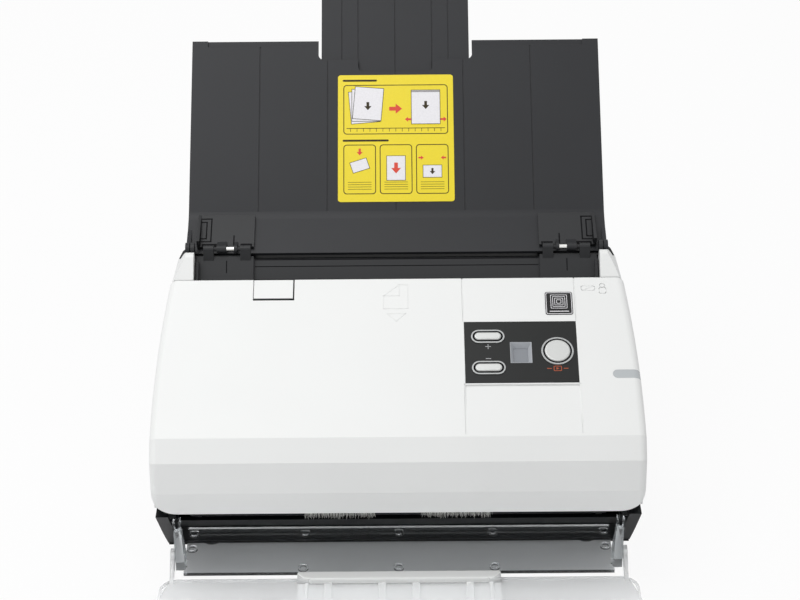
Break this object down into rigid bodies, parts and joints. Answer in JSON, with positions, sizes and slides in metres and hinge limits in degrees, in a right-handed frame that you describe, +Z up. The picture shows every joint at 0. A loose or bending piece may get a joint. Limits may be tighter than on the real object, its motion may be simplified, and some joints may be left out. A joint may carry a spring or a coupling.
{
  "type": "sheet-fed scanner",
  "caption": "Desktop sheet-fed document scanner with folding paper chute, hinged front cover, sliding guides and clear output tray.",
  "frame": {"origin": "centre of the footprint, tray and chute included, on the surface it stands on", "axes": "+X to the right seen from the front, +Y to the rear, +Z up"},
  "size_m": [0.318, 0.4517, 0.3392],
  "materials": {
    "white_plastic": "fine satin texture",
    "black_plastic": "fine texture",
    "dark_plastic": "satin",
    "chute_plastic": "fine texture",
    "bezel_plastic": "satin gloss",
    "key_plastic": "satin gloss",
    "silver_plastic": "satin silver",
    "display_plastic": "gloss",
    "light_plastic": "translucent",
    "label": "printed film",
    "bristles": "nylon strands",
    "clear_plastic": "clear, faintly smoked",
    "rubber": "matt",
    "steel": "zinc plated",
    "gear_plastic": "natural",
    "module_plastic": "matt",
    "optical_glass": "clear",
    "board": "solder mask",
    "socket_metal": "plated"
  },
  "bodies": {
    "body": {"base_housing": "black_plastic", "bottom_plate": "black_plastic", "feet": "rubber", "rear_cover": "black_plastic", "left_side_cover": "white_plastic", "right_side_cover": "white_plastic", "lower_paper_guide": "dark_plastic", "left_side_frame": "steel", "right_side_frame": "steel", "lower_scan_module": "module_plastic", "lower_scan_glass": "optical_glass", "main_board": "board", "usb_port": "socket_metal", "power_jack": "module_plastic", "drive_motor": "steel", "roller_bushings": "gear_plastic", "case_screws": "steel", "drive_belt": "rubber"},
    "cover": {"front_cover": "white_plastic", "upper_paper_guide": "dark_plastic", "upper_scan_module": "module_plastic", "upper_scan_glass": "optical_glass", "control_bezel": "bezel_plastic", "button_rings": "silver_plastic", "display_well": "display_plastic", "panel_board": "board", "light_pipe": "light_plastic", "badge_plate": "bezel_plastic", "left_exit_brush": "bristles", "right_exit_brush": "bristles"},
    "plus_key": {"plus_button": "key_plastic"},
    "minus_key": {"minus_button": "key_plastic"},
    "scan_key": {"scan_button": "key_plastic"},
    "release": {"release_button": "white_plastic"},
    "latch": {"latch_bar": "steel"},
    "separation": {"separation_arm": "gear_plastic", "separation_pad": "rubber"},
    "pinch": {"pinch_rollers": "rubber"},
    "feed": {"feed_shaft": "steel", "feed_tyres": "rubber", "feed_pulley": "gear_plastic"},
    "exit": {"exit_shaft": "steel", "exit_tyres": "rubber", "exit_pulley": "gear_plastic"},
    "motor_drive": {"motor_pulley": "gear_plastic"},
    "sensor": {"paper_sensor_lever": "gear_plastic"},
    "switch": {"power_switch": "module_plastic"},
    "chute": {"paper_chute": "chute_plastic", "instruction_label": "label"},
    "extension": {"chute_extension": "chute_plastic"},
    "guide_left": {"left_guide": "dark_plastic"},
    "guide_right": {"right_guide": "dark_plastic"},
    "flap_left": {"left_guide_flap": "dark_plastic"},
    "flap_right": {"right_guide_flap": "dark_plastic"},
    "pinion": {"guide_pinion": "gear_plastic"},
    "tray": {"tray_base": "clear_plastic"},
    "tray_front": {"tray_flap": "clear_plastic"},
    "tray_third": {"tray_extension": "clear_plastic"}
  },
  "joints": [
    {"name": "front_cover_open", "type": "hinge", "parent": "body", "child": "cover", "pos_m": [0, -0.115, 0.073], "axis": [-1, 0, 0], "range_deg": [-90, 0]},
    {"name": "plus_press", "type": "slide", "parent": "cover", "child": "plus_key", "axis": [0, 0.4131, -0.9107], "range_m": [0, 0.001], "stiffness_N_per_m": 600, "springref_m": -0.001},
    {"name": "minus_press", "type": "slide", "parent": "cover", "child": "minus_key", "axis": [0, 0.4131, -0.9107], "range_m": [0, 0.001], "stiffness_N_per_m": 600, "springref_m": -0.001},
    {"name": "scan_press", "type": "slide", "parent": "cover", "child": "scan_key", "axis": [0, 0.4131, -0.9107], "range_m": [0, 0.001], "stiffness_N_per_m": 600, "springref_m": -0.001},
    {"name": "release_press", "type": "slide", "parent": "cover", "child": "release", "axis": [0, 0.4131, -0.9107], "range_m": [0, 0.0025], "stiffness_N_per_m": 800, "springref_m": -0.001},
    {"name": "latch_turn", "type": "hinge", "parent": "cover", "child": "latch", "pos_m": [0, -0.01072, 0.15264], "axis": [1, 0, 0], "range_deg": [0, 14.4]},
    {"name": "separation_lift", "type": "hinge", "parent": "cover", "child": "separation", "pos_m": [0, -0.01416, 0.14582], "axis": [-1, 0, 0], "range_deg": [0, 6], "stiffness_Nm_per_rad": 0.05, "springref_deg": -5.73},
    {"name": "pinch_spin", "type": "hinge", "parent": "cover", "child": "pinch", "pos_m": [0, -0.09692, 0.06741], "axis": [1, 0, 0], "continuous": true},
    {"name": "feed_spin", "type": "hinge", "parent": "body", "child": "feed", "pos_m": [0, -0.00842, 0.12793], "axis": [1, 0, 0], "continuous": true},
    {"name": "exit_spin", "type": "hinge", "parent": "body", "child": "exit", "pos_m": [0, -0.08853, 0.05841], "axis": [1, 0, 0], "continuous": true},
    {"name": "motor_spin", "type": "hinge", "parent": "body", "child": "motor_drive", "pos_m": [-0.144, -0.002, 0.04], "axis": [1, 0, 0], "continuous": true},
    {"name": "sensor_tilt", "type": "hinge", "parent": "body", "child": "sensor", "pos_m": [0.06, -0.0287, 0.11448], "axis": [1, 0, 0], "range_deg": [0, 25], "stiffness_Nm_per_rad": 0.001, "springref_deg": -17.19},
    {"name": "switch_rock", "type": "hinge", "parent": "body", "child": "switch", "pos_m": [0.06, 0.038, 0.082], "axis": [1, 0, 0], "range_deg": [0, 12]},
    {"name": "chute_fold", "type": "hinge", "parent": "body", "child": "chute", "pos_m": [0, 0.025, 0.1795], "axis": [1, 0, 0], "range_deg": [0, 152]},
    {"name": "extension_slide", "type": "slide", "parent": "chute", "child": "extension", "axis": [0, -0.7343, -0.6788], "range_m": [0, 0.095]},
    {"name": "left_guide_slide", "type": "slide", "parent": "body", "child": "guide_left", "axis": [1, 0, 0], "range_m": [0, 0.08]},
    {"name": "right_guide_slide", "type": "slide", "parent": "body", "child": "guide_right", "axis": [-1, 0, 0], "range_m": [0, 0.08]},
    {"name": "pinion_spin", "type": "hinge", "parent": "body", "child": "pinion", "pos_m": [0, 0.00928, 0.14853], "axis": [0, -0.682, 0.7314], "range_deg": [-680, 0]},
    {"name": "left_flap_fold", "type": "hinge", "parent": "guide_left", "child": "flap_left", "pos_m": [-0.115, 0.025, 0.1795], "axis": [1, 0, 0], "range_deg": [0, 152]},
    {"name": "right_flap_fold", "type": "hinge", "parent": "guide_right", "child": "flap_right", "pos_m": [0.115, 0.025, 0.1795], "axis": [1, 0, 0], "range_deg": [0, 152]},
    {"name": "tray_removal", "type": "slide", "parent": "body", "child": "tray", "axis": [0, -1, 0], "range_m": [0, 0.06]},
    {"name": "tray_flap_tilt", "type": "hinge", "parent": "tray", "child": "tray_front", "pos_m": [0, -0.116, 0.0285], "axis": [-1, 0, 0], "range_deg": [0, 80]},
    {"name": "tray_unfold", "type": "hinge", "parent": "tray_front", "child": "tray_third", "pos_m": [0, -0.222, 0.0198], "axis": [-1, 0, 0], "range_deg": [-180, 0]}
  ],
  "couplings": [
    {"joint": "latch_turn", "follows": "release_press", "rad_per_m": 100},
    {"joint": "exit_spin", "follows": "feed_spin", "ratio": 1.6364},
    {"joint": "motor_spin", "follows": "feed_spin", "ratio": 1.8},
    {"joint": "pinch_spin", "follows": "feed_spin", "ratio": -2.2909},
    {"joint": "right_guide_slide", "follows": "left_guide_slide", "ratio": 1},
    {"joint": "pinion_spin", "follows": "left_guide_slide", "rad_per_m": -148.15},
    {"joint": "left_flap_fold", "follows": "chute_fold", "ratio": 1},
    {"joint": "right_flap_fold", "follows": "chute_fold", "ratio": 1}
  ]
}
